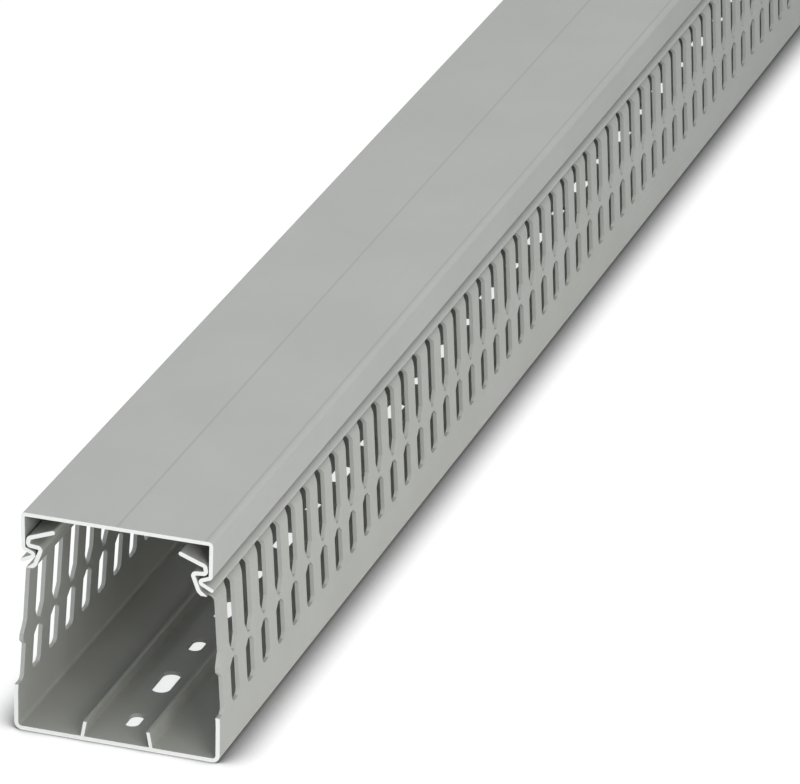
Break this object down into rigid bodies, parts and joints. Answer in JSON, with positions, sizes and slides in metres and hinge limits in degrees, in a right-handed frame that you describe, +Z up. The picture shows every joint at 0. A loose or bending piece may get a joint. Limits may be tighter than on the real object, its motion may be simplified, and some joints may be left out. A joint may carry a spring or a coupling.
{
  "type": "slotted wire duct",
  "caption": "Open-topped plastic wiring channel with comb-like slotted side walls, punched floor and a clip-on cover.",
  "frame": {"origin": "middle of the duct's length and width, on the underside of its floor", "axes": "+Y along the length, +X across the width, +Z up from the floor to the cover"},
  "size_m": [0.06, 1, 0.066],
  "materials": {
    "channel_pvc": "extruded rigid PVC, satin",
    "cover_pvc": "extruded rigid PVC, satin"
  },
  "bodies": {
    "base": {"base": "channel_pvc"},
    "cover": {"cover": "cover_pvc"}
  },
  "joints": [
    {"name": "cover_slide", "type": "slide", "parent": "base", "child": "cover", "axis": [0, 1, 0], "range_m": [-1, 1]}
  ]
}
